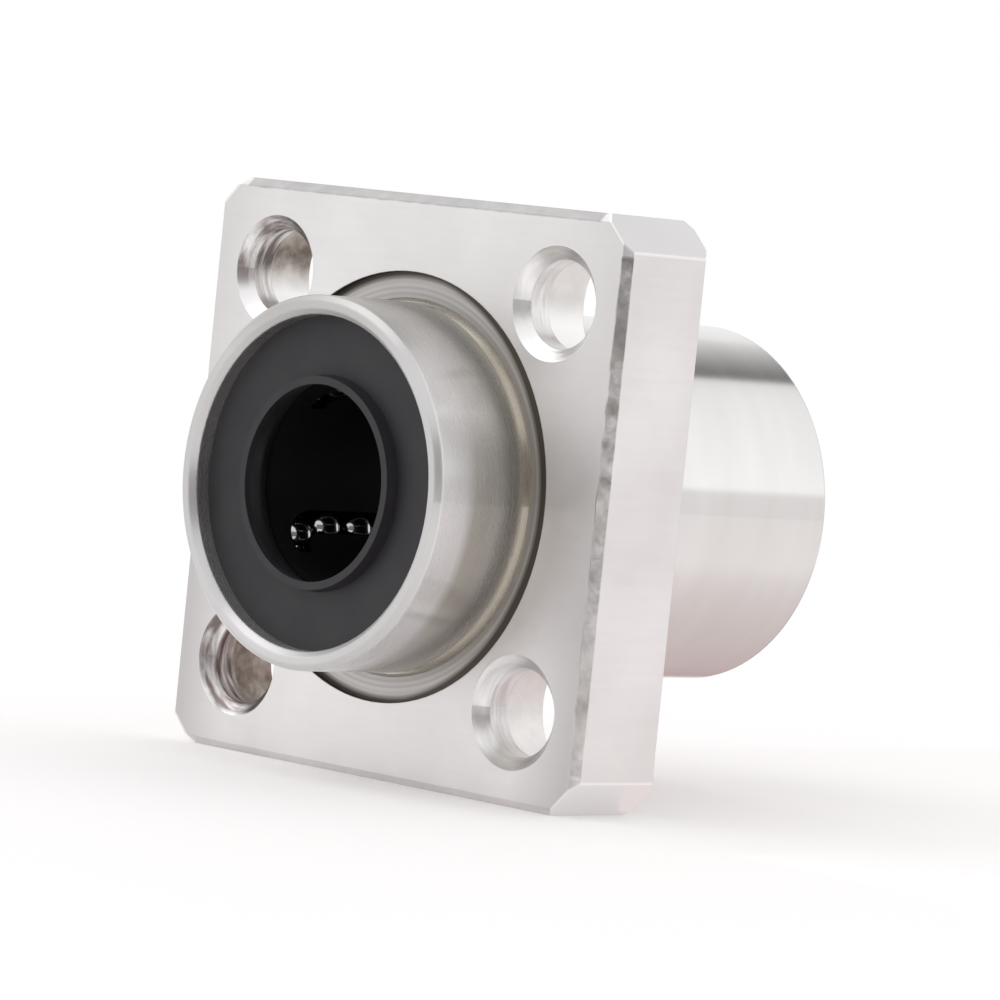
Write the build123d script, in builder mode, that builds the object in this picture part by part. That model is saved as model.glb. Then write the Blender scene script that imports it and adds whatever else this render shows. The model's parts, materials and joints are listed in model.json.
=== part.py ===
from build123d import *
import math
import os

os.makedirs("parts", exist_ok=True)

# Flanged linear ball bushing for a 10 mm shaft, in millimetres
# The bore runs along Y: the short pilot points to -Y and the long barrel to +Y
# The origin is on the bore axis, in the flange's front mounting face

# Driving dimensions of the sleeve
shaft_d = 10.0
sleeve_wall = 4.5
sleeve_l = 29.0
pilot_l = 6.0
end_chamfer = 0.3
mouth_chamfer = 0.3
press_seat_h = 0.05
root_groove_depth = 0.2
pilot_groove_lead = 0.2
barrel_groove_half_w = 0.3

# Driving dimensions of the flange
flange_w = 30.0
flange_t = 6.0
corner_cut = 1.77
edge_bevel = 0.4
screw_circle_share = 0.4755
screw_hole_d = 4.5
screw_head_d = 7.5
screw_head_h = 4.1
hole_countersink = 0.67
recess_w = 1.55
recess_depth = 0.4
bore_chamfer = 0.15

# Driving dimensions of the seals and the retaining rings
seal_depth = 1.15
seal_t = 1.2
seal_boss_h = 0.7
seal_lip_wall = 0.4
seal_foot_wall = 0.5
seal_lip_land = 0.4
seal_back_relief = 0.5
seat_wall = 1.0
ring_t = 0.8
ring_groove_depth = 0.25
ring_gap = 3.0

# Driving dimensions of the balls and their cage
ball_d = 1.984
circuit_count = 4
first_row_angle = -153.0
balls_per_row = 8
balls_per_turn = 2
return_lift = 0.6
island_w = 0.88
cage_end_wall = 0.42
collar_overlap = 0.35

# Clearances
shaft_clear = 0.02
cage_shaft_clear = 0.2
race_clear = 0.02
tunnel_clear = 0.07
return_clear = 0.06
cage_clear = 0.07
collar_clear = 0.1
cage_play = 0.05
relief_lead = 0.15

# Each ball is a low-faceted body with its corners on the true sphere
ball_sides = 8
trough_sides = 8

# Radii from the bore axis, worked out from the shaft outwards
shaft_r = shaft_d / 2
sleeve_r = shaft_r + sleeve_wall
ball_r = ball_d / 2
load_r = shaft_r + shaft_clear + ball_r
return_r = load_r + return_lift
race_r = load_r + ball_r + race_clear
relief_r = return_r + ball_r + return_clear
tunnel_r = ball_r + tunnel_clear
cage_bore_r = shaft_r + cage_shaft_clear
cage_r = race_r - cage_clear
collar_r = relief_r - collar_clear
ring_bore_r = collar_r - collar_overlap
press_seat_r = sleeve_r + press_seat_h
root_r = sleeve_r - root_groove_depth
seat_r = sleeve_r - seat_wall
groove_r = seat_r + ring_groove_depth

# Distances along the bore, measured from the middle of the sleeve
half_l = sleeve_l / 2
seal_front = half_l - seal_depth
seal_back = seal_front - seal_t
shoulder = seal_back - ring_t
cage_half = seal_back - cage_play
collar_end = shoulder - cage_play
turn_r = tunnel_r + island_w / 2
row_half = cage_half - cage_end_wall - tunnel_r - turn_r
relief_start = row_half - relief_lead
collar_start = relief_start + collar_clear

# Planes: the sleeve's middle plane, and the lathe section with the bore as its y axis
mid_y = sleeve_l / 2 - pilot_l
middle = Plane.XZ.offset(-mid_y)
section = Plane(origin=(0, mid_y, 0), x_dir=(1, 0, 0), z_dir=(0, 0, 1))
flange_front = Plane.XZ
flange_rear = Plane(origin=(0, flange_t, 0), x_dir=(1, 0, 0), z_dir=(0, 1, 0))

# The screw circle lies between the press seat and the flange's cut corners
corner_reach = (flange_w - corner_cut) / math.sqrt(2)
screw_circle_r = press_seat_r + screw_circle_share * (corner_reach - press_seat_r)
screw_spacing = screw_circle_r * math.sqrt(2)

# The two rows of a circuit lie one turn diameter apart, at their own radii
row_angle = math.acos((load_r**2 + return_r**2 - (2 * turn_r) ** 2) / (2 * load_r * return_r))

# The balls share the circuit's length evenly
circuit_l = 4 * row_half + 2 * math.pi * turn_r
ball_pitch = circuit_l / (2 * (balls_per_row + balls_per_turn))
turn_step = math.degrees(ball_pitch / turn_r)
turn_spread = turn_step * (balls_per_turn - 1)


def circuit_plane(index):
    """Plane of one circuit: x along the bore, y from the load row to the return row."""
    load_angle = math.radians(first_row_angle + index * 360 / circuit_count)
    return_angle = load_angle + row_angle
    load_point = Vector(load_r * math.cos(load_angle), mid_y, load_r * math.sin(load_angle))
    return_point = Vector(return_r * math.cos(return_angle), mid_y, return_r * math.sin(return_angle))
    outward = Vector(0, 1, 0).cross(return_point - load_point)
    return Plane(origin=(load_point + return_point) * 0.5, x_dir=(0, 1, 0), z_dir=outward)


def channel_sketch(plane, along, across):
    """Section of a ball channel: an eight-sided trough, open outwards."""
    across_dir = plane.y_dir
    with BuildSketch(Plane(plane.from_local_coords((along, across, 0)), across_dir, (0, 1, 0))) as channel:
        RegularPolygon(tunnel_r, trough_sides, major_radius=False, rotation=180 / trough_sides)
        Rectangle(2 * tunnel_r, ball_d, align=(Align.CENTER, Align.MIN))
    return channel.sketch


# Ground steel sleeve: half of its lathe section is revolved and mirrored
with BuildPart() as outer_sleeve:
    with BuildSketch(section):
        with BuildLine():
            Polyline(
                (race_r, 0),
                (race_r, -relief_start),
                (relief_r, -relief_start),
                (relief_r, -shoulder),
                (groove_r, -shoulder),
                (groove_r, -seal_back),
                (seat_r, -seal_back),
                (seat_r, mouth_chamfer - half_l),
                (seat_r + mouth_chamfer, -half_l),
                (sleeve_r - end_chamfer, -half_l),
                (sleeve_r, end_chamfer - half_l),
                (sleeve_r, 0),
                close=True,
            )
        make_face()
    revolve(axis=Axis.Y)
    mirror(about=middle)
    # Grooves that give the unloaded balls room to run back
    for index in range(circuit_count):
        plane = circuit_plane(index)
        groove_start = Plane(plane.from_local_coords((-row_half, turn_r, 0)), z_dir=(0, 1, 0))
        with BuildSketch(groove_start):
            Circle(tunnel_r)
        extrude(amount=2 * row_half, mode=Mode.SUBTRACT)
    # Grinding grooves at the roots of the pilot and the barrel, and the flange's press seat between them
    with BuildSketch(flange_front.offset(pilot_groove_lead)):
        Circle(sleeve_r)
        Circle(root_r, mode=Mode.SUBTRACT)
    extrude(amount=-pilot_groove_lead - flange_t - barrel_groove_half_w, mode=Mode.SUBTRACT)
    with BuildSketch(flange_rear.offset(-barrel_groove_half_w)):
        Circle(press_seat_r)
        Circle(root_r, mode=Mode.SUBTRACT)
    extrude(amount=recess_depth + barrel_groove_half_w - flange_t)
outer_sleeve.part.label = "outer_sleeve"
export_step(outer_sleeve.part, "parts/outer_sleeve.step")

# Square flange pressed on the sleeve, with a screw hole near each cut corner
with BuildPart() as square_flange:
    with BuildSketch(flange_rear):
        Rectangle(flange_w, flange_w)
    extrude(amount=-flange_t)
    chamfer(square_flange.edges().filter_by(Axis.Y), corner_cut)
    side_edges = square_flange.edges().filter_by(Axis.X) + square_flange.edges().filter_by(Axis.Z)
    chamfer(side_edges, edge_bevel)
    with Locations(flange_rear):
        with GridLocations(screw_spacing, screw_spacing, 2, 2):
            CounterBoreHole(screw_hole_d / 2, screw_head_d / 2, screw_head_h)
    front_face = square_flange.faces().sort_by(Axis.Y)[0]
    chamfer(front_face.edges().filter_by(GeomType.CIRCLE), hole_countersink)
    with Locations(flange_rear):
        Hole(press_seat_r)
    with BuildSketch(flange_front):
        Circle(sleeve_r + recess_w)
    extrude(amount=-recess_depth, mode=Mode.SUBTRACT)
    recess_floor = square_flange.faces().filter_by(Axis.Y).sort_by(Axis.Y)[1]
    floor_rims = recess_floor.edges().filter_by(lambda edge: edge.is_closed)
    chamfer(floor_rims.sort_by(SortBy.RADIUS)[0], bore_chamfer)
square_flange.part.label = "square_flange"
export_step(square_flange.part, "parts/square_flange.step")

# Moulded cage: a thin tube with a collar at each end, and a tunnel for each circuit
with BuildPart() as ball_cage:
    with BuildSketch(section):
        with BuildLine():
            Polyline(
                (cage_bore_r, 0),
                (cage_bore_r, -cage_half),
                (cage_r, -cage_half),
                (cage_r, -collar_end),
                (collar_r, -collar_end),
                (collar_r, -collar_start),
                (cage_r, -collar_start),
                (cage_r, 0),
                close=True,
            )
        make_face()
    revolve(axis=Axis.Y)
    mirror(about=middle)
    for index in range(circuit_count):
        plane = circuit_plane(index)
        for side in (-1, 1):
            row_channel = channel_sketch(plane, -row_half, side * turn_r)
            extrude(row_channel, amount=2 * row_half, mode=Mode.SUBTRACT)
            turn_channel = channel_sketch(plane, side * row_half, -turn_r)
            turn_axis = Axis(plane.from_local_coords((side * row_half, 0, 0)), plane.z_dir * side)
            revolve(turn_channel, axis=turn_axis, revolution_arc=180, mode=Mode.SUBTRACT)
ball_cage.part.label = "ball_cage"
export_step(ball_cage.part, "parts/ball_cage.step")

# Rubber end seals, with a raised lip that wipes the shaft
with BuildPart() as front_seal:
    with BuildSketch(section):
        with BuildLine():
            Polyline(
                (shaft_r + seal_back_relief, -seal_back),
                (seat_r, -seal_back),
                (seat_r, -seal_front),
                (shaft_r + seal_foot_wall, -seal_front),
                (shaft_r + seal_lip_wall, -seal_front - seal_boss_h),
                (shaft_r, -seal_front - seal_boss_h),
                (shaft_r, seal_lip_land - seal_front - seal_boss_h),
                close=True,
            )
        make_face()
    revolve(axis=Axis.Y)
front_seal.part.label = "front_seal"
export_step(front_seal.part, "parts/front_seal.step")

with BuildPart() as rear_seal:
    mirror(front_seal.part, about=middle)
rear_seal.part.label = "rear_seal"
export_step(rear_seal.part, "parts/rear_seal.step")

# Split spring rings, each in its groove between the seal and the sleeve's shoulder
with BuildPart() as front_retaining_ring:
    with BuildSketch(middle.offset(shoulder)):
        Circle(groove_r)
        Circle(ring_bore_r, mode=Mode.SUBTRACT)
        Rectangle(ring_gap, groove_r, align=(Align.CENTER, Align.MAX), mode=Mode.SUBTRACT)
    extrude(amount=ring_t)
front_retaining_ring.part.label = "front_retaining_ring"
export_step(front_retaining_ring.part, "parts/front_retaining_ring.step")

with BuildPart() as rear_retaining_ring:
    mirror(front_retaining_ring.part, about=middle)
rear_retaining_ring.part.label = "rear_retaining_ring"
export_step(rear_retaining_ring.part, "parts/rear_retaining_ring.step")

# One steel ball, repeated in every row and turn
facet_angle = math.pi / ball_sides
flat_r = ball_r * math.cos(facet_angle)
facet_step = flat_r - ball_r * math.sin(facet_angle)
with BuildPart() as ball:
    with BuildSketch():
        RegularPolygon(flat_r, ball_sides)
    extrude(amount=flat_r, both=True)
    chamfer(ball.faces().filter_by(Axis.Z).edges(), facet_step)

# The four groups of balls in each circuit
for index in range(circuit_count):
    number = index + 1

    with BuildPart(circuit_plane(index)) as load_row:
        with Locations((0, -turn_r, 0)):
            with GridLocations(ball_pitch, 0, balls_per_row, 1):
                add(ball.part)
    load_row.part.label = f"load_row_{number}"
    export_step(load_row.part, f"parts/load_row_{number}.step")

    with BuildPart(circuit_plane(index)) as return_row:
        with Locations((0, turn_r, 0)):
            with GridLocations(ball_pitch, 0, balls_per_row, 1):
                add(ball.part)
    return_row.part.label = f"return_row_{number}"
    export_step(return_row.part, f"parts/return_row_{number}.step")

    with BuildPart(circuit_plane(index)) as rear_turn_balls:
        with Locations((row_half, 0, 0)):
            with PolarLocations(turn_r, balls_per_turn, -turn_spread / 2, turn_spread, endpoint=True):
                add(ball.part)
    rear_turn_balls.part.label = f"rear_turn_{number}"
    export_step(rear_turn_balls.part, f"parts/rear_turn_{number}.step")

    with BuildPart(circuit_plane(index)) as front_turn_balls:
        with Locations((-row_half, 0, 0)):
            with PolarLocations(turn_r, balls_per_turn, 180 - turn_spread / 2, turn_spread, endpoint=True):
                add(ball.part)
    front_turn_balls.part.label = f"front_turn_{number}"
    export_step(front_turn_balls.part, f"parts/front_turn_{number}.step")
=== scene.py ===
import json
import math

import bmesh
import bpy
from mathutils import Matrix, Vector


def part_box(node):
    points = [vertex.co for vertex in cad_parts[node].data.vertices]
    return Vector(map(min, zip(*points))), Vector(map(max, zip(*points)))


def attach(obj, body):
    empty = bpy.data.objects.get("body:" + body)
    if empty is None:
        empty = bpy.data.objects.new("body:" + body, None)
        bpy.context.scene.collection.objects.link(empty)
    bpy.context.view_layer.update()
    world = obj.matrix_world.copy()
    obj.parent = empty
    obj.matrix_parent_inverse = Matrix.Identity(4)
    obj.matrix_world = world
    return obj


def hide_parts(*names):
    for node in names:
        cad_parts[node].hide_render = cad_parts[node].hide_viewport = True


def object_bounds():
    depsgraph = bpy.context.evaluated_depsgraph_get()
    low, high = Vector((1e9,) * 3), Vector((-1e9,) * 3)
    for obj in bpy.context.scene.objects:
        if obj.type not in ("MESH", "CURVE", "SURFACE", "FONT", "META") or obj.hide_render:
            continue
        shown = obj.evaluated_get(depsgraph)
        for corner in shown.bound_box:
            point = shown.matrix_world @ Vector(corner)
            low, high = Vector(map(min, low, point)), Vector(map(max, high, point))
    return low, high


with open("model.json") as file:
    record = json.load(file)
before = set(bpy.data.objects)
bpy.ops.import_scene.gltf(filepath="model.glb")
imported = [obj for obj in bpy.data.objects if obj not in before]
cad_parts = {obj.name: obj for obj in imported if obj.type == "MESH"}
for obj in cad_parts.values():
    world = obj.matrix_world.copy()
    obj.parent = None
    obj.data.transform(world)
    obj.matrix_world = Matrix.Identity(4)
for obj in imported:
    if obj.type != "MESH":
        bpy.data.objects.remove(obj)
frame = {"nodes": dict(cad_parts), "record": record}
cad_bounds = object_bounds()
nodes = frame["nodes"]
mounts = {mount["name"]: mount["dims"] for mount in frame["record"]["mounts"]}
scene = bpy.context.scene
MM = 0.001

# Camera at the photograph's viewing angle. Azimuth 0 looks along +Y, and the origin's pixel is where the axis
# of the bore meets the flange's front face
CAMERA_AZIMUTH = 44.608
CAMERA_ELEVATION = 2.979
CAMERA_ROLL = 5.773
CAMERA_DISTANCE = 291.657 * MM
FOCAL_PIXELS = 5711.275
ORIGIN_PIXEL = (391.015, 486.786)
IMAGE_SIDE = 1000
SENSOR_WIDTH = 36.0

# Sizes of the solids
sleeve_front, sleeve_rear = (corner.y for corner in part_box("outer_sleeve"))
SLEEVE_MIDDLE = (sleeve_front + sleeve_rear) / 2
HALF_SLEEVE = (sleeve_rear - sleeve_front) / 2
SLEEVE_RADIUS = mounts["barrel"]["r_mm"] * MM
FLANGE_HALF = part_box("square_flange")[1].x
HOLE_CENTRE = mounts["screw_holes"]["spacing_x_mm"] / 2 * MM
COUNTERSINK_RADIUS = 2.95 * MM
COUNTERBORE_RADIUS = 3.75 * MM
COUNTERBORE_FLOOR = 1.9 * MM
RECESS_RADIUS = SLEEVE_RADIUS + 1.55 * MM
RECESS_DEPTH = 0.4 * MM
BEVEL_LINE = FLANGE_HALF - 0.4 * MM
CORNER_LINE = 2 * FLANGE_HALF - 1.77 * MM
BALL_RADIUS = 0.992 * MM
BALL_SEGMENTS = 40
BALL_GROUPS = ("load_row", "return_row", "front_turn", "rear_turn")
CIRCUITS = 4
SMOOTH_ANGLE = 25

# Places on the sleeve where a shade comes in or goes out
BARREL_START = (3 * MM, 4 * MM)
RIM_START = (HALF_SLEEVE - 0.33 * MM, HALF_SLEEVE - 0.25 * MM)
CHAMFER_START = (HALF_SLEEVE - 0.7 * MM, HALF_SLEEVE - 0.6 * MM)
OUTER_SKIN = (SLEEVE_RADIUS - 0.6 * MM, SLEEVE_RADIUS - 0.3 * MM)
ROOT_START = (-3.5 * MM, -0.5 * MM)
ROOT_END = (0.5 * MM, MM)
# where the painted shade along the pilot's lower middle comes in and goes out
LOW_SHADE_START = (-4.0 * MM, -3.3 * MM)
LOW_SHADE_END = (-2.4 * MM, -0.8 * MM)
LOW_SHADE_FOOT = (-8.5 * MM, -5 * MM)
LOW_SHADE_HEAD = (-MM, 4.5 * MM)
PILOT_CROWN = (6 * MM, 8.5 * MM)

# Places on the flange where a shade comes in or goes out
MIDDLE = (-MM, MM)
FACE_SKIN = (0.0, 0.3 * MM)
SIDE_STRIP = (10.5 * MM, 14.2 * MM)
SIDE_FADE = (-6 * MM, 6 * MM)
CORNER_CUT = (CORNER_LINE - 0.18 * MM, CORNER_LINE - 0.08 * MM)
HOLE_EDGE = (COUNTERSINK_RADIUS - 0.05 * MM, COUNTERSINK_RADIUS)
HOLE_CROWN = (-1.2 * MM, 0.3 * MM)
COUNTERBORE_START = (COUNTERBORE_FLOOR - 0.1 * MM, COUNTERBORE_FLOOR)
COUNTERBORE_EDGE = (COUNTERBORE_RADIUS + 0.01 * MM, COUNTERBORE_RADIUS + 0.03 * MM)
RECESS_TOP = (0.04 * MM, 0.08 * MM)
RECESS_FLOOR = (RECESS_DEPTH + 0.02 * MM, RECESS_DEPTH + 0.08 * MM)
RECESS_EDGE = (RECESS_RADIUS, RECESS_RADIUS + 0.1 * MM)
# where the painted shade in the recess deepens towards its outer wall, and how far it spreads on the right
SHADE_EDGE = (RECESS_RADIUS - 0.45 * MM, RECESS_RADIUS - 0.15 * MM)
SHADE_SIDE = (2 * MM, 9 * MM)
BEVEL_START = (BEVEL_LINE + 0.16 * MM, BEVEL_LINE + 0.26 * MM)
BEVEL_DEPTH = (0.40 * MM, 0.46 * MM)
BEVEL_ENDS = (12.8 * MM, 13.0 * MM)
CHIPS_FOOT = (-12 * MM, 4 * MM)
CHIPS_HEAD = (4 * MM, 9 * MM)

# Waves per metre of each noise, all ways alike or along X, Y and Z
GRINDING_LINES = (25, 14000, 25)
BROAD_LINES = (110, 420, 110)
BRUSH_LINES = (250, 250, 3500)
TOOL_RINGS = (420, 2600, 420)
EDGE_WAVES = (900, 900, 700)
PLATE_CLOUDS = 140
PLATE_GRAIN = 9000
SPECKLES = 900
BLOTCHES = 650
RECESS_RINGS = 3500
BALL_FILM = 3000
SPRING_GRAIN = 2500
RUBBER_CLOUDS = 500
RUBBER_GRAIN = 6000
RESIN_CLOUDS = 700
RESIN_GRAIN = 5000
FLOOR_CLOUDS = 20

# Parts of a noise that are spread over a whole range
NOISE_BAND = (0.3, 0.7)
LINE_BAND = (0.1, 0.45)

# Depth of the fine relief, and reach of the rounding over sharp edges
FINE_RELIEF = 0.01 * MM
PLATE_RELIEF = 0.02 * MM
EDGE_WOBBLE = 0.5 * MM
RIM_ROUNDING = 0.2 * MM
PLATE_ROUNDING = 0.06 * MM

# Roughness of each finish
BARREL_ROUGH = (0.13, 0.15)
PILOT_ROUGH = (0.25, 0.30)
RIM_ROUGH = 0.38
PLATE_ROUGH = (0.30, 0.42)
WORN_ROUGH = 0.5
BALL_ROUGH = (0.08, 0.13)
SPRING_ROUGH = (0.28, 0.42)
RUBBER_ROUGH = (0.48, 0.62)
RESIN_ROUGH = (0.42, 0.58)

# Colours of the steel sleeve, from clean to darker at the rims, and painted shade on the pilot
SLEEVE_DARK = (0.75, 0.74, 0.73)
SLEEVE_LIGHT = (0.80, 0.79, 0.79)
SLEEVE_RIM = (0.62, 0.61, 0.61)
# painted shade on the pilot: at its root, along its lower middle and on top
ROOT_SHADE = (0.72, 0.67, 0.57)
PILOT_LOW_SHADE = (0.43, 0.40, 0.35)
PILOT_TOP_SHADE = (0.36, 0.35, 0.33)

# Colours of the plated flange
PLATE_DARK = (0.73, 0.705, 0.705)
PLATE_LIGHT = (0.84, 0.82, 0.82)
# painted shade down both sides of the front face
PLATE_SIDE_SHADE = (0.56, 0.54, 0.535)
# painted highlight on the cut corners
CORNER_HIGHLIGHT = (0.90, 0.885, 0.885)
WALL_BRIGHT = (0.93, 0.92, 0.92)
# painted shade, in dark tool streaks on the shaded side of the hole walls
WALL_STREAK_SHADE = (0.24, 0.20, 0.19)
COUNTERBORE_BRIGHT = (0.88, 0.87, 0.865)
RUST_DARK = (0.24, 0.20, 0.165)
RUST_LIGHT = (0.60, 0.55, 0.51)
RECESS_TURNED = (0.40, 0.38, 0.34)
# painted shade in the recess, deepest along its outer wall
RECESS_SHADE = (0.105, 0.092, 0.080)
SCUFF_DARK = (0.36, 0.35, 0.35)
SCUFF_LIGHT = (0.46, 0.45, 0.445)
CHIP_DARK = (0.30, 0.285, 0.275)
CHIP_LIGHT = (0.70, 0.675, 0.665)
CHIP_LOW = (0.72, 0.69, 0.68)
CHIP_HIGH = (0.22, 0.21, 0.20)

# Colours of the seals
RUBBER_DARK = (0.014, 0.0125, 0.015)
RUBBER_LIGHT = (0.024, 0.0215, 0.026)

# Studio, in metres
WORLD_LIGHT = 0.85
FLOOR_HEIGHT = cad_bounds[0][2]
FLOOR_REACH = 3.0
FLOOR_LIFT = 0.16
FLOOR_DARK = (0.90, 0.875, 0.875)
FLOOR_LIGHT = (0.93, 0.905, 0.905)
WHITE_START = 0.05
WHITE_END = 0.18
KEY_PLACE = (-0.3, -0.25, 0.5)
KEY_SIDE = 0.5
KEY_POWER = 0.6

# Flags that the metal reflects: name, middles of two opposite edges, the way across, and a shade at each edge
CARD_FLOOR = FLOOR_HEIGHT + 0.2 * MM
BACK = (0.345, 0.36)
FADE_LOW = (*BACK, 0.060)
FADE_HIGH = (*BACK, 0.085)
BRIGHT = (1.20, 1.20, 1.20)
PALE = (0.91, 0.895, 0.89)
WARM = (1.0, 0.96, 0.955)
CARDS = (
    ("camera_side_card", (0.45, -0.46, -0.20), (0.40, -0.44, 0.30), (0.42, 0.42, 0.0),
     (0.19, 0.168, 0.15), (0.28, 0.262, 0.25)),
    ("barrel_top_card", (-0.004, 0.36, 0.352), (-0.230, 0.36, 0.24), (0.0, 0.40, 0.0),
     (0.09, 0.08, 0.08), (0.88, 0.87, 0.87)),
    ("barrel_bright_card", FADE_HIGH, (0.062, 0.36, 0.35), (0.0, 0.50, 0.0), BRIGHT, (1.02, 1.02, 1.02)),
    ("barrel_fade_card", FADE_LOW, FADE_HIGH, (0.0, 0.50, 0.0), PALE, BRIGHT),
    ("barrel_low_card", (*BACK, CARD_FLOOR), FADE_LOW, (0.0, 0.50, 0.0), (0.91, 0.885, 0.88), PALE),
    # painted shadow on the floor under the barrel, seen only in reflections, dark and pinkish at one edge
    ("floor_shadow_card", (-0.012, 0.035, CARD_FLOOR), (0.026, 0.035, CARD_FLOOR), (0.0, 0.060, 0.0),
     (0.50, 0.36, 0.35), WARM),
    ("floor_far_card", (0.026, 0.20, CARD_FLOOR), (0.345, 0.20, CARD_FLOOR), (0.0, 0.40, 0.0),
     WARM, (0.93, 0.905, 0.90)),
)


def place_in_scene(name, data):
    made = bpy.data.objects.new(name, data)
    scene.collection.objects.link(made)
    return made


def camera_frame():
    """Right, up and forward directions of the camera."""
    azimuth, elevation, roll = (math.radians(a) for a in (CAMERA_AZIMUTH, CAMERA_ELEVATION, CAMERA_ROLL))
    level = math.cos(elevation)
    back = Vector((math.sin(azimuth) * level, -math.cos(azimuth) * level, math.sin(elevation)))
    right = (-back).cross(Vector((0, 0, 1))).normalized()
    up = right.cross(-back)
    rolled_right = math.cos(roll) * right + math.sin(roll) * up
    rolled_up = math.cos(roll) * up - math.sin(roll) * right
    return rolled_right, rolled_up, -back


def add_camera():
    right, up, forward = camera_frame()
    middle = IMAGE_SIDE / 2
    across = (ORIGIN_PIXEL[0] - middle) * CAMERA_DISTANCE / FOCAL_PIXELS
    above = (middle - ORIGIN_PIXEL[1]) * CAMERA_DISTANCE / FOCAL_PIXELS
    data = bpy.data.cameras.new("camera")
    data.sensor_width = SENSOR_WIDTH
    data.lens = FOCAL_PIXELS / IMAGE_SIDE * SENSOR_WIDTH
    data.clip_start = 0.01
    data.clip_end = 20
    camera = place_in_scene("camera", data)
    place = -across * right - above * up - CAMERA_DISTANCE * forward
    turn = Matrix((right, up, -forward)).transposed()
    camera.matrix_world = Matrix.Translation(place) @ turn.to_4x4()
    scene.camera = camera


class Shader:
    """A node material, with short calls for the nodes that the finishes share."""

    def __init__(self, name, **values):
        self.material = bpy.data.materials.new(name)
        self.material.use_nodes = True
        self.tree = self.material.node_tree
        self.surface = self.tree.nodes["Principled BSDF"]
        for socket, value in values.items():
            self.feed(value, self.surface.inputs[socket.replace("_", " ")])

    def node(self, kind, **settings):
        made = self.tree.nodes.new(kind)
        for key, value in settings.items():
            setattr(made, key, value)
        return made

    def link(self, out, into):
        self.tree.links.new(out, into)

    def feed(self, value, socket):
        """Set a socket to a number or a colour, or link it to another node."""
        if isinstance(value, tuple):
            socket.default_value = (*value, 1.0)
        elif isinstance(value, (int, float)):
            socket.default_value = value
        else:
            self.link(value, socket)

    def to_surface(self, socket, value):
        self.link(value, self.surface.inputs[socket])

    def coordinates(self):
        return self.node("ShaderNodeTexCoord").outputs["Object"]

    def axes(self):
        split = self.node("ShaderNodeSeparateXYZ")
        self.link(self.coordinates(), split.inputs["Vector"])
        return split.outputs["X"], split.outputs["Y"], split.outputs["Z"]

    def joined(self, first, second=0.0):
        """Two values as one vector."""
        made = self.node("ShaderNodeCombineXYZ")
        self.feed(first, made.inputs["X"])
        self.feed(second, made.inputs["Y"])
        return made.outputs["Vector"]

    def length(self, vector):
        made = self.node("ShaderNodeVectorMath", operation="LENGTH")
        self.link(vector, made.inputs[0])
        return made.outputs["Value"]

    def stretched(self, scale):
        mapping = self.node("ShaderNodeMapping")
        mapping.inputs["Scale"].default_value = scale
        self.link(self.coordinates(), mapping.inputs["Vector"])
        return mapping.outputs["Vector"]

    def noise(self, waves, detail, roughness=0.5, vector=None):
        """Noise with its waves per metre given once for all ways, or for each axis."""
        scale = waves
        if isinstance(waves, tuple):
            vector = self.stretched(waves)
            scale = 1.0
        texture = self.node("ShaderNodeTexNoise")
        for socket, number in zip(("Scale", "Detail", "Roughness"), (scale, detail, roughness)):
            texture.inputs[socket].default_value = number
        self.link(vector or self.coordinates(), texture.inputs["Vector"])
        return texture.outputs["Fac"]

    def math(self, operation, *values):
        made = self.node("ShaderNodeMath", operation=operation)
        for socket, value in zip(made.inputs, values):
            self.feed(value, socket)
        return made.outputs["Value"]

    def absolute(self, value):
        return self.math("ABSOLUTE", value)

    def overlap(self, *masks):
        """Product of masks, which is one where every mask is one."""
        product = masks[0]
        for mask in masks[1:]:
            product = self.math("MULTIPLY", product, mask)
        return product

    def spread(self, value, low, high, start=0.0, end=1.0):
        """Value from start to end turned into low to high, and held there."""
        ranged = self.node("ShaderNodeMapRange")
        for socket, number in zip(("From Min", "From Max", "To Min", "To Max"), (start, end, low, high)):
            ranged.inputs[socket].default_value = number
        self.link(value, ranged.inputs["Value"])
        return ranged.outputs["Result"]

    def past(self, value, start, end):
        """Mask that is zero up to the start and one from the end on."""
        return self.spread(value, 0.0, 1.0, start, end)

    def before(self, value, start, end):
        """Mask that is one up to the start and zero from the end on."""
        return self.spread(value, 1.0, 0.0, start, end)

    def blend(self, factor, first, second):
        mix = self.node("ShaderNodeMix", data_type="RGBA")
        for socket, value in zip(("Factor", "A", "B"), (factor, first, second)):
            self.feed(value, mix.inputs[socket])
        return mix.outputs["Result"]

    def rounded_edges(self, radius):
        """Normals rounded a little over the sharp edges."""
        bevel = self.node("ShaderNodeBevel", samples=6)
        self.feed(radius, bevel.inputs["Radius"])
        return bevel.outputs["Normal"]

    def bump(self, height, strength, distance, under=None):
        made = self.node("ShaderNodeBump")
        if under:
            self.link(under, made.inputs["Normal"])
        made.inputs["Strength"].default_value = strength
        made.inputs["Distance"].default_value = distance
        self.link(height, made.inputs["Height"])
        self.to_surface("Normal", made.outputs["Normal"])


def pilot_painted_shade(s, tone):
    """Painted shade on the pilot: warm and a little darker at its root, darker along its lower middle and on
    top.
    """
    _, y, z = s.axes()
    at_root = s.overlap(s.spread(y, 0.0, 0.6, *ROOT_START), s.before(y, *ROOT_END))
    tone = s.blend(at_root, tone, ROOT_SHADE)
    along = s.overlap(s.spread(y, 0.0, 0.85, *LOW_SHADE_START), s.spread(y, 1.0, 0.1, *LOW_SHADE_END))
    round_low = s.overlap(s.spread(z, 1.0, 0.2, *LOW_SHADE_HEAD), s.spread(z, 0.4, 1.0, *LOW_SHADE_FOOT))
    tone = s.blend(s.overlap(along, round_low), tone, PILOT_LOW_SHADE)
    on_top = s.overlap(s.spread(z, 0.0, 0.9, *PILOT_CROWN), s.before(y, *MIDDLE))
    return s.blend(on_top, tone, PILOT_TOP_SHADE)


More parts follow.
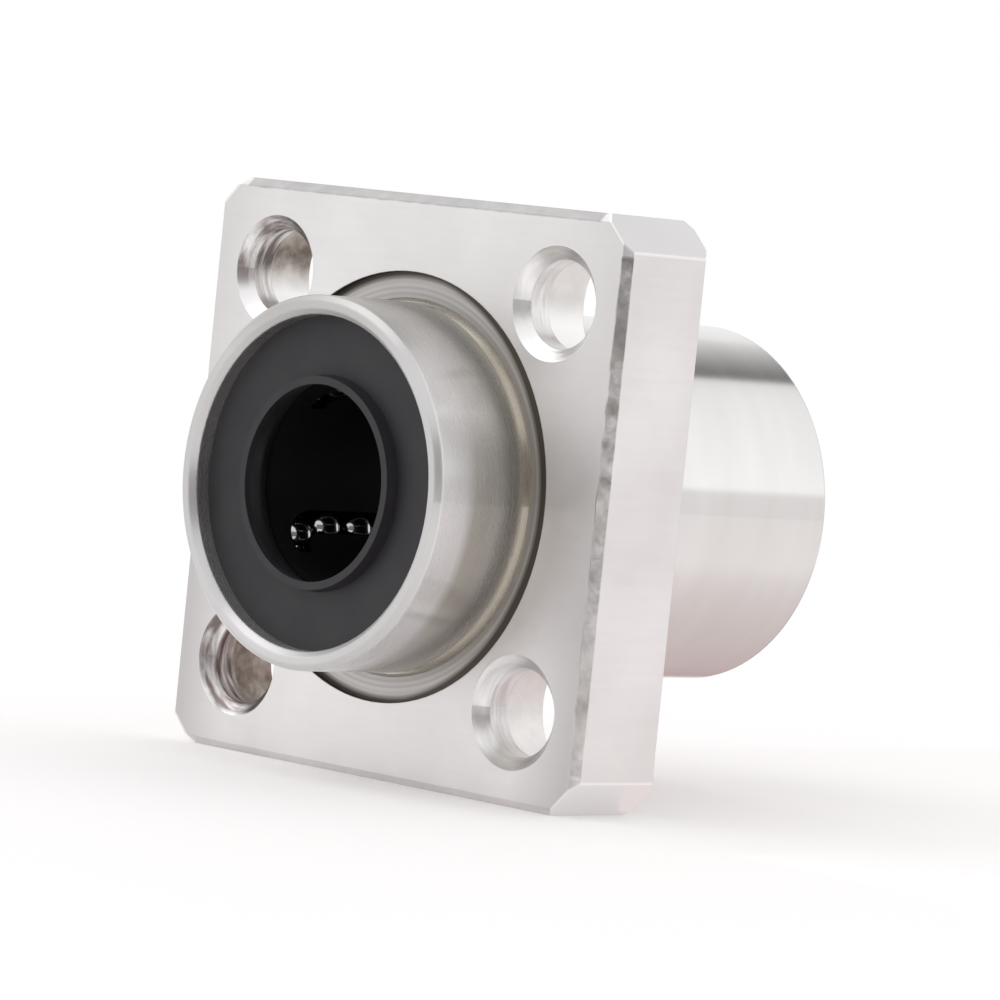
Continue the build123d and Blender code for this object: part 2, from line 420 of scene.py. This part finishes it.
def ground_steel():
    """Ground sleeve: fine lines round it spread its gloss along the bore, most on the pilot."""
    s = Shader("ground_steel", Base_Color=(0.79, 0.78, 0.775), Metallic=1.0, Roughness=0.24,
               Anisotropic=0.85, Anisotropic_Rotation=0.25)
    around = s.node("ShaderNodeTangent", direction_type="RADIAL", axis="Y")
    s.to_surface("Tangent", around.outputs["Tangent"])
    x, y, z = s.axes()
    lines = s.noise(GRINDING_LINES, 2)
    broad = s.noise(BROAD_LINES, 3)
    from_middle = s.absolute(s.math("SUBTRACT", y, SLEEVE_MIDDLE))
    at_end = s.past(from_middle, *RIM_START)
    on_barrel = s.past(y, *BARREL_START)

    uneven = s.overlap(lines, broad)
    barrel_rough = s.overlap(on_barrel, s.spread(uneven, *BARREL_ROUGH, *LINE_BAND))
    pilot_rough = s.overlap(s.math("SUBTRACT", 1.0, on_barrel), s.spread(uneven, *PILOT_ROUGH, *LINE_BAND))
    rough = s.math("ADD", barrel_rough, pilot_rough)
    s.to_surface("Roughness", s.math("MAXIMUM", rough, s.math("MULTIPLY", at_end, RIM_ROUGH)))

    # painted shade on the pilot goes over the steel's own tone here
    tone = pilot_painted_shade(s, s.blend(s.past(broad, *NOISE_BAND), SLEEVE_DARK, SLEEVE_LIGHT))
    s.to_surface("Base Color", s.blend(s.math("MULTIPLY", at_end, 0.7), tone, SLEEVE_RIM))

    outside = s.past(s.length(s.joined(x, z)), *OUTER_SKIN)
    relief = s.overlap(lines, outside, s.spread(on_barrel, 0.08, 0.12))
    rounding = s.spread(from_middle, 0.0, RIM_ROUNDING, *CHAMFER_START)
    s.bump(relief, 0.04, FINE_RELIEF, s.rounded_edges(rounding))
    return s.material


def plate_tone(s, cloud, brush):
    """Cloudy plating, with painted shade down both sides of the front face, darker low down, and a painted
    highlight on the cut corners.
    """
    x, y, z = s.axes()
    mottle = s.past(s.math("MULTIPLY_ADD", brush, 0.2, cloud), 0.38, 0.82)
    tone = s.blend(mottle, PLATE_DARK, PLATE_LIGHT)
    # painted shade down both sides of the face, strongest low down
    on_strip = s.overlap(s.past(s.absolute(x), *SIDE_STRIP), s.before(y, *FACE_SKIN))
    beside = s.overlap(on_strip, s.spread(z, 0.95, 0.35, *SIDE_FADE))
    tone = s.blend(beside, tone, PLATE_SIDE_SHADE)
    to_corner = s.math("ADD", s.absolute(x), s.absolute(z))
    # painted highlight on the cut corners
    return s.blend(s.past(to_corner, *CORNER_CUT), tone, CORNER_HIGHLIGHT)


def hole_tone(s, tone, rings):
    """Screw holes turned with a coarse tool, with painted shade as dark tool streaks on their upper walls and
    all through the lower holes, the left ones the most; deep inside bright, with rust on that shaded side.
    """
    x, y, z = s.axes()
    across, above = (s.math("SUBTRACT", s.absolute(axis), HOLE_CENTRE) for axis in (x, z))
    from_hole = s.length(s.joined(across, above))
    in_hole = s.before(from_hole, *HOLE_EDGE)
    # painted shade on the upper walls of every hole and all through the lower holes, strongest in the left
    # ones; it sets where the dark streaks and the rust go
    shaded = s.math("MAXIMUM", s.before(z, *MIDDLE), s.past(above, *HOLE_CROWN))
    shaded_side = s.overlap(s.spread(x, 1.0, 0.25, *MIDDLE), shaded)
    streaks = s.before(rings, 0.40, 0.62)
    tone = s.blend(in_hole, tone, s.blend(s.overlap(shaded_side, streaks), WALL_BRIGHT, WALL_STREAK_SHADE))
    blotches = s.past(s.noise(BLOTCHES, 5, 0.6), 0.36, 0.64)
    rust = s.blend(blotches, RUST_DARK, RUST_LIGHT)
    deep = s.overlap(s.past(y, *COUNTERBORE_START), s.before(from_hole, *COUNTERBORE_EDGE))
    return s.blend(deep, tone, s.blend(shaded_side, COUNTERBORE_BRIGHT, rust)), in_hole


def recess_tone(s, tone):
    """Recess round the pilot, turned in rings, with painted shade over it that is deepest along its outer
    wall and reaches further in on the right.
    """
    x, y, z = s.axes()
    from_axis = s.length(s.joined(x, z))
    shallow = s.overlap(s.past(y, *RECESS_TOP), s.before(y, *RECESS_FLOOR))
    in_recess = s.overlap(shallow, s.before(from_axis, *RECESS_EDGE))
    turned = s.noise(RECESS_RINGS, 3, vector=s.joined(from_axis))
    tone = s.blend(s.overlap(in_recess, s.spread(turned, 0.0, 0.6, 0.35, 0.65)), tone, RECESS_TURNED)
    # painted shade over the recess, deepest at the outer wall and wider on the right
    reach = s.math("ADD", from_axis, s.spread(x, 0.0, 0.55 * MM, *SHADE_SIDE))
    recess_shade = s.spread(reach, 0.25, 1.0, *SHADE_EDGE)
    return s.blend(s.overlap(in_recess, recess_shade), tone, RECESS_SHADE), in_recess


def bevel_mask(s, outward, along, wobble):
    """Front bevel of the side that one axis points to, with a wavy inner line, short of the cut corners."""
    y = s.axes()[1]
    outer = s.math("ADD", s.math("SUBTRACT", outward, y), wobble)
    on_bevel = s.past(outer, *BEVEL_START)
    return s.overlap(on_bevel, s.before(s.absolute(along), *BEVEL_ENDS), s.before(y, *BEVEL_DEPTH))


def edge_tone(s, tone, speckle):
    """Front bevels, chipped down the right side and evenly scuffed along the top."""
    x, _, z = s.axes()
    wobble = s.math("MULTIPLY", s.noise(EDGE_WAVES, 4), EDGE_WOBBLE)
    gentle = s.math("MULTIPLY_ADD", wobble, 0.3, 0.2 * MM)
    scuffed = s.math("MULTIPLY", bevel_mask(s, z, x, gentle), 0.85)
    tone = s.blend(scuffed, tone, s.blend(s.past(speckle, *NOISE_BAND), SCUFF_DARK, SCUFF_LIGHT))
    chipped = bevel_mask(s, x, z, wobble)
    chips = s.blend(s.past(speckle, 0.35, 0.65), CHIP_DARK, CHIP_LIGHT)
    chips = s.blend(s.spread(z, 0.5, 0.0, *CHIPS_FOOT), chips, CHIP_LOW)
    chips = s.blend(s.spread(z, 0.0, 0.5, *CHIPS_HEAD), chips, CHIP_HIGH)
    return s.blend(chipped, tone, chips), chipped


def plated_flange():
    """Satin flange with worked holes, a dull recess and scuffed and chipped front edges."""
    s = Shader("plated_flange", Base_Color=(0.79, 0.765, 0.765), Metallic=1.0, Roughness=0.36)
    cloud = s.noise(PLATE_CLOUDS, 4)
    brush = s.noise(BRUSH_LINES, 3)
    grain = s.noise(PLATE_GRAIN, 3)
    rings = s.noise(TOOL_RINGS, 4)
    speckle = s.noise(SPECKLES, 5)

    tone, in_hole = hole_tone(s, plate_tone(s, cloud, brush), rings)
    tone, in_recess = recess_tone(s, tone)
    tone, chipped = edge_tone(s, tone, speckle)
    s.to_surface("Base Color", tone)

    dull = s.math("MULTIPLY", s.math("MAXIMUM", chipped, in_recess), WORN_ROUGH)
    s.to_surface("Roughness", s.math("MAXIMUM", s.spread(cloud, *PLATE_ROUGH, *NOISE_BAND), dull))

    relief = s.math("MULTIPLY_ADD", grain, 0.25, s.math("MULTIPLY", brush, 0.2))
    relief = s.math("MULTIPLY_ADD", s.overlap(rings, in_hole), 5.0, relief)
    relief = s.math("MULTIPLY_ADD", s.overlap(speckle, chipped), 4.0, relief)
    s.bump(relief, 0.4, PLATE_RELIEF, s.rounded_edges(PLATE_ROUNDING))
    return s.material


def ball_steel():
    """Polished bearing balls under a film of oil."""
    s = Shader("ball_steel", Base_Color=(0.56, 0.56, 0.57), Metallic=1.0, Roughness=0.1)
    fine = s.noise(BALL_FILM, 2)
    s.to_surface("Roughness", s.spread(fine, *BALL_ROUGH, *NOISE_BAND))
    return s.material


def spring_steel():
    """Blued retaining rings."""
    s = Shader("spring_steel", Base_Color=(0.2, 0.2, 0.215), Metallic=1.0, Roughness=0.35)
    fine = s.noise(SPRING_GRAIN, 3)
    s.to_surface("Roughness", s.spread(fine, *SPRING_ROUGH, *NOISE_BAND))
    return s.material


def seal_rubber():
    """Matt black moulded rubber."""
    s = Shader("seal_rubber", Base_Color=(0.018, 0.016, 0.019), Roughness=0.55)
    cloud = s.noise(RUBBER_CLOUDS, 4)
    s.to_surface("Base Color", s.blend(cloud, RUBBER_DARK, RUBBER_LIGHT))
    s.to_surface("Roughness", s.spread(cloud, *RUBBER_ROUGH, *NOISE_BAND))
    s.bump(s.noise(RUBBER_GRAIN, 3), 0.3, FINE_RELIEF)
    return s.material


def cage_resin():
    """Black moulded resin of the ball cage."""
    s = Shader("cage_resin", Base_Color=(0.008, 0.008, 0.009), Roughness=0.5, Specular_IOR_Level=0.15)
    cloud = s.noise(RESIN_CLOUDS, 3)
    s.to_surface("Roughness", s.spread(cloud, *RESIN_ROUGH, *NOISE_BAND))
    s.bump(s.noise(RESIN_GRAIN, 2), 0.25, FINE_RELIEF)
    return s.material


FINISHES = {
    "outer_sleeve": ground_steel,
    "square_flange": plated_flange,
    "ball_cage": cage_resin,
    "front_seal": seal_rubber,
    "rear_seal": seal_rubber,
    "front_retaining_ring": spring_steel,
    "rear_retaining_ring": spring_steel,
}


def dress_cad_nodes():
    for name, material in FINISHES.items():
        mesh = nodes[name].data
        mesh.materials.clear()
        mesh.materials.append(material())
        mesh.shade_smooth()
        mesh.set_sharp_from_angle(angle=math.radians(SMOOTH_ANGLE))


def take_solid(corners_left):
    """Take the corners of one separate solid out of a set, and give its middle."""
    first = corners_left.pop()
    solid = [first.co]
    waiting = [first]
    while waiting:
        for edge in waiting.pop().link_edges:
            for corner in edge.verts:
                if corner in corners_left:
                    corners_left.remove(corner)
                    solid.append(corner.co)
                    waiting.append(corner)
    low = Vector(min(place[axis] for place in solid) for axis in range(3))
    high = Vector(max(place[axis] for place in solid) for axis in range(3))
    return (low + high) / 2


def ball_centres(node):
    shape = bmesh.new()
    shape.from_mesh(node.data)
    bmesh.ops.remove_doubles(shape, verts=shape.verts, dist=0.01 * MM)
    corners_left = set(shape.verts)
    centres = []
    while corners_left:
        centres.append(take_solid(corners_left))
    shape.free()
    return centres


def add_balls(group, circuit, material):
    """True round balls in place of a group's low-faceted ones."""
    name = f"{group}_{circuit}"
    shape = bmesh.new()
    for centre in ball_centres(nodes[name]):
        bmesh.ops.create_uvsphere(shape, u_segments=BALL_SEGMENTS, v_segments=BALL_SEGMENTS // 2,
                                  radius=BALL_RADIUS, matrix=Matrix.Translation(centre))
    mesh = bpy.data.meshes.new(f"{name}_round")
    shape.to_mesh(mesh)
    shape.free()
    mesh.shade_smooth()
    mesh.materials.append(material)
    balls = place_in_scene(f"{name}_round", mesh)
    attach(balls, f"{name}_balls")
    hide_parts(name)


def add_all_balls():
    material = ball_steel()
    for circuit in range(1, CIRCUITS + 1):
        for group in BALL_GROUPS:
            add_balls(group, circuit, material)


def rectangle(name, half_across, half_up, height=0.0):
    """Flat rectangle round its own middle."""
    corners = [(x * half_across, y * half_up, height) for x, y in ((-1, -1), (1, -1), (1, 1), (-1, 1))]
    mesh = bpy.data.meshes.new(name)
    mesh.from_pydata(corners, [], [(0, 1, 2, 3)])
    return place_in_scene(name, mesh)


def floor_paint():
    """Pale paint that keeps the shadow near the part and turns to plain white far from it."""
    s = Shader("floor", Base_Color=(0.9, 0.9, 0.9), Roughness=0.9)
    s.to_surface("Base Color", s.blend(s.noise(FLOOR_CLOUDS, 2), FLOOR_DARK, FLOOR_LIGHT))
    seen = s.node("ShaderNodeLightPath")
    direct = s.math("MAXIMUM", seen.outputs["Is Camera Ray"], seen.outputs["Is Glossy Ray"])
    near = s.node("ShaderNodeEmission")
    s.link(s.math("MULTIPLY", direct, FLOOR_LIFT), near.inputs["Strength"])
    lit = s.node("ShaderNodeAddShader")
    s.link(s.surface.outputs["BSDF"], lit.inputs[0])
    s.link(near.outputs["Emission"], lit.inputs[1])
    white = s.node("ShaderNodeEmission")
    far = s.past(s.length(s.coordinates()), WHITE_START, WHITE_END)
    mix = s.node("ShaderNodeMixShader")
    s.link(s.overlap(direct, far), mix.inputs["Fac"])
    s.link(lit.outputs["Shader"], mix.inputs[1])
    s.link(white.outputs["Emission"], mix.inputs[2])
    s.link(mix.outputs["Shader"], s.tree.nodes["Material Output"].inputs["Surface"])
    return s.material


def add_floor():
    """Floor under the flange's lower edge."""
    floor = rectangle("floor", FLOOR_REACH, FLOOR_REACH, FLOOR_HEIGHT)
    floor.data.materials.append(floor_paint())


def light_world():
    """White to the camera and in reflections, a little less as light."""
    world = bpy.data.worlds.new("studio")
    scene.world = world
    world.use_nodes = True
    tree = world.node_tree
    background = tree.nodes["Background"]
    background.inputs["Color"].default_value = (1, 1, 1, 1)
    seen = tree.nodes.new("ShaderNodeLightPath")
    direct = tree.nodes.new("ShaderNodeMath")
    direct.operation = "MAXIMUM"
    tree.links.new(seen.outputs["Is Camera Ray"], direct.inputs[0])
    tree.links.new(seen.outputs["Is Glossy Ray"], direct.inputs[1])
    level = tree.nodes.new("ShaderNodeMapRange")
    level.inputs["To Min"].default_value = WORLD_LIGHT
    level.inputs["To Max"].default_value = 1.0
    tree.links.new(direct.outputs["Value"], level.inputs["Value"])
    tree.links.new(level.outputs["Result"], background.inputs["Strength"])


def add_key_light():
    """Soft square lamp above the left of the camera, facing the part."""
    data = bpy.data.lights.new("key_softbox", "AREA")
    data.size = KEY_SIDE
    data.energy = KEY_POWER
    lamp = place_in_scene("key_softbox", data)
    turn = (-Vector(KEY_PLACE)).to_track_quat("-Z", "Y")
    lamp.matrix_world = Matrix.Translation(KEY_PLACE) @ turn.to_matrix().to_4x4()


def card_shade(name, half_up, lower, upper):
    """Even glow that runs from one shade to the other up the card."""
    s = Shader(name, Base_Color=(0.0, 0.0, 0.0), Roughness=1.0, Specular_IOR_Level=0.0, Emission_Strength=1.0)
    s.to_surface("Emission Color", s.blend(s.past(s.axes()[1], -half_up, half_up), lower, upper))
    return s.material


def add_card(name, low, high, across, lower, upper):
    """Card that only reflections see, as a studio flag that shapes the metal."""
    low, high, across = Vector(low), Vector(high), Vector(across)
    up, side = (high - low).normalized(), across.normalized()
    half_up = (high - low).length / 2
    card = rectangle(name, across.length / 2, half_up)
    turn = Matrix((side, up, side.cross(up))).transposed()
    card.matrix_world = Matrix.Translation((low + high) / 2) @ turn.to_4x4()
    for ray in ("camera", "diffuse", "shadow", "transmission", "volume_scatter"):
        setattr(card, f"visible_{ray}", False)
    card.data.materials.append(card_shade(name, half_up, lower, upper))


add_camera()
dress_cad_nodes()
add_all_balls()
add_floor()
light_world()
add_key_light()
for card in CARDS:
    add_card(*card)
scene.view_settings.view_transform = "Standard"
